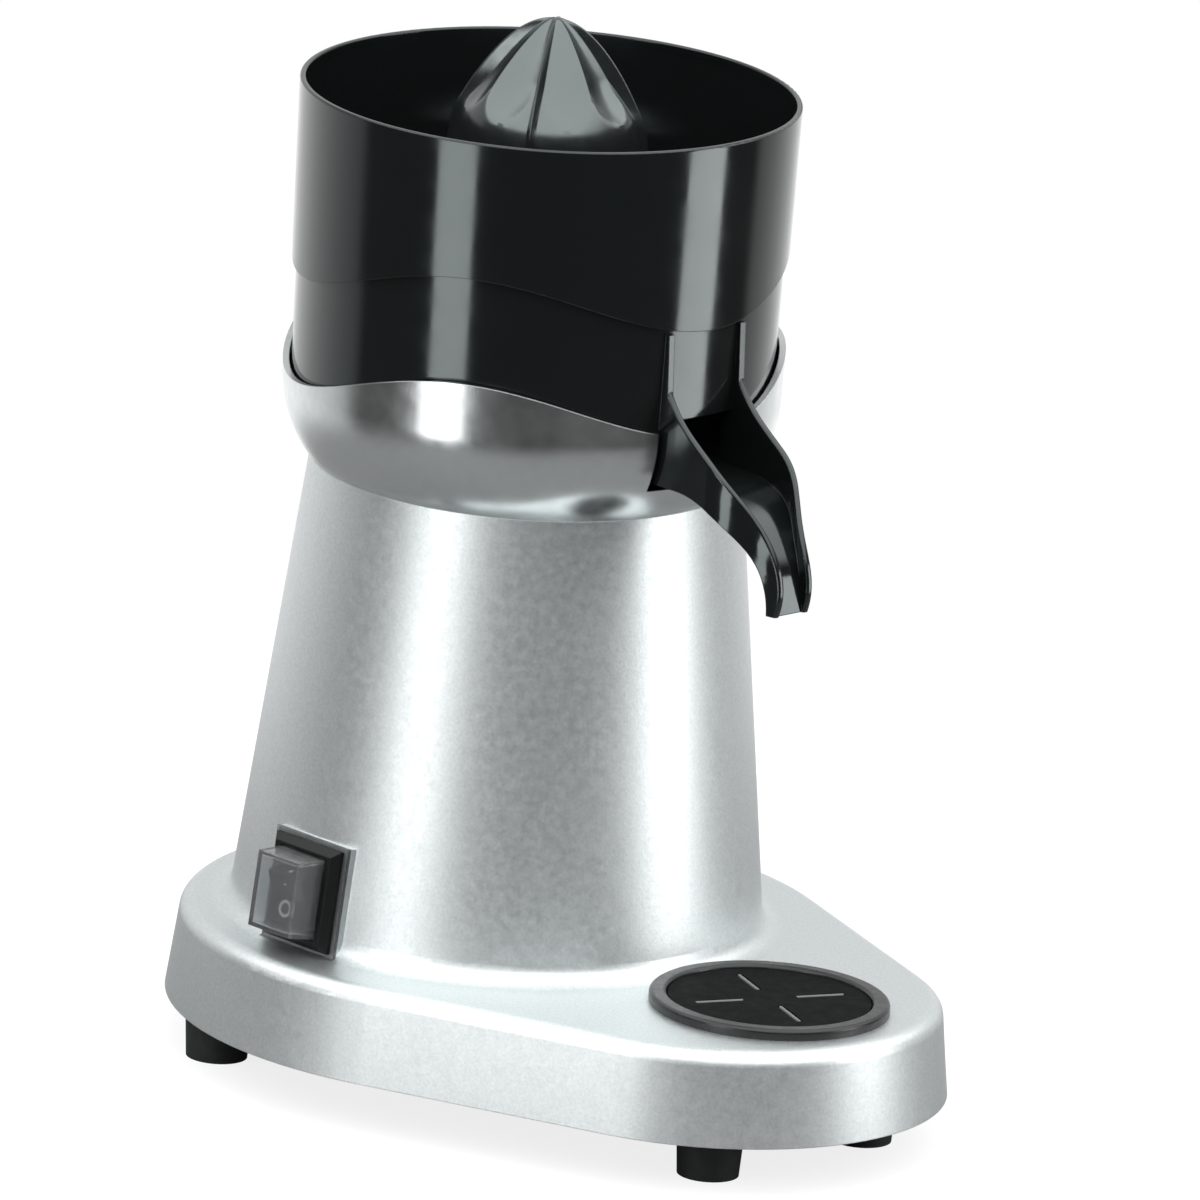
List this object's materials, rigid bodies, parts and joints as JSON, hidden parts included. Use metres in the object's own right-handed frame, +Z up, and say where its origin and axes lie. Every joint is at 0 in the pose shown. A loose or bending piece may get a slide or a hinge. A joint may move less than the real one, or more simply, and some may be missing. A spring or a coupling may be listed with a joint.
{
  "type": "electric citrus press",
  "caption": "Electric citrus press: ribbed cone in a black bowl with a pouring spout, on a conical cast motor column with a wide foot and a drip tray.",
  "frame": {"origin": "on the table under the middle of the foot's outline", "axes": "+Z up along the motor axis, -Y towards the spout and the drip tray, switch on -X"},
  "size_m": [0.2, 0.255, 0.3116],
  "materials": {
    "cast_aluminium": "bead-blasted satin silver",
    "polished_aluminium": "polished",
    "bowl_plastic": "high gloss black",
    "reamer_plastic": "semi-gloss black",
    "strainer_steel": "brushed",
    "tray_plastic": "matt dark grey",
    "grid_plastic": "satin black",
    "black_rubber": "matt black",
    "switch_plastic": "satin black",
    "key_plastic": "satin black",
    "clear_plastic": "clear, slightly smoky",
    "bright_steel": "ground",
    "plated_steel": "zinc plated",
    "motor_aluminium": "as cast",
    "lamination_steel": "laminated",
    "winding_copper": "enamelled copper",
    "inner_plastic": "natural",
    "gland_plastic": "black nylon"
  },
  "bodies": {
    "housing": {"body_casting": "cast_aluminium", "bowl_collar": "polished_aluminium", "foot_back_left": "black_rubber", "foot_back_right": "black_rubber", "foot_front_left": "black_rubber", "foot_front_right": "black_rubber", "bowl_gasket": "black_rubber", "shaft_seal": "black_rubber", "switch_bezel": "switch_plastic", "switch_body": "switch_plastic", "switch_cap": "clear_plastic", "switch_flange": "clear_plastic", "upper_bearing": "bright_steel", "lower_bearing": "bright_steel", "bottom_cover": "plated_steel", "foot_screws": "plated_steel", "collar_screws": "plated_steel", "motor_screws": "plated_steel", "motor_tie_bolts": "plated_steel", "earth_stud": "plated_steel", "capacitor_clip": "plated_steel", "upper_end_shield": "motor_aluminium", "lower_end_shield": "motor_aluminium", "seal_holder": "motor_aluminium", "run_capacitor": "motor_aluminium", "stator_core": "lamination_steel", "stator_winding": "winding_copper", "terminal_block": "inner_plastic", "cable_gland": "gland_plastic", "gland_nut": "gland_plastic"},
    "drive": {"drive_shaft": "bright_steel", "drive_pin": "bright_steel", "rotor": "lamination_steel", "cooling_fan": "inner_plastic"},
    "bowl": {"bowl": "bowl_plastic", "bowl_sleeve": "bowl_plastic"},
    "strainer": {"strainer": "strainer_steel"},
    "reamer": {"reamer": "reamer_plastic", "reamer_hub": "reamer_plastic", "reamer_insert": "bright_steel"},
    "rocker": {"switch_rocker": "key_plastic"},
    "drip_tray": {"drip_tray": "tray_plastic"},
    "drip_grid": {"drip_grid": "grid_plastic"}
  },
  "joints": [
    {"name": "motor_spin", "type": "hinge", "parent": "housing", "child": "drive", "pos_m": [0, 0.034, 0.2], "axis": [0, 0, 1], "continuous": true},
    {"name": "bowl_lift", "type": "slide", "parent": "housing", "child": "bowl", "axis": [0, 0, 1], "range_m": [0, 0.08]},
    {"name": "strainer_lift", "type": "slide", "parent": "bowl", "child": "strainer", "axis": [0, 0, 1], "range_m": [0, 0.07]},
    {"name": "reamer_spin", "type": "hinge", "parent": "strainer", "child": "reamer", "pos_m": [0, 0.034, 0.25], "axis": [0, 0, 1], "continuous": true},
    {"name": "rocker_tilt", "type": "hinge", "parent": "housing", "child": "rocker", "pos_m": [-0.07634, 0.034, 0.05938], "axis": [0, 1, 0], "range_deg": [0, 18]},
    {"name": "tray_lift", "type": "slide", "parent": "housing", "child": "drip_tray", "axis": [0, 0, 1], "range_m": [0, 0.04]},
    {"name": "grid_lift", "type": "slide", "parent": "drip_tray", "child": "drip_grid", "axis": [0, 0, 1], "range_m": [0, 0.02]}
  ],
  "couplings": [
    {"joint": "reamer_spin", "follows": "motor_spin", "ratio": 1}
  ]
}
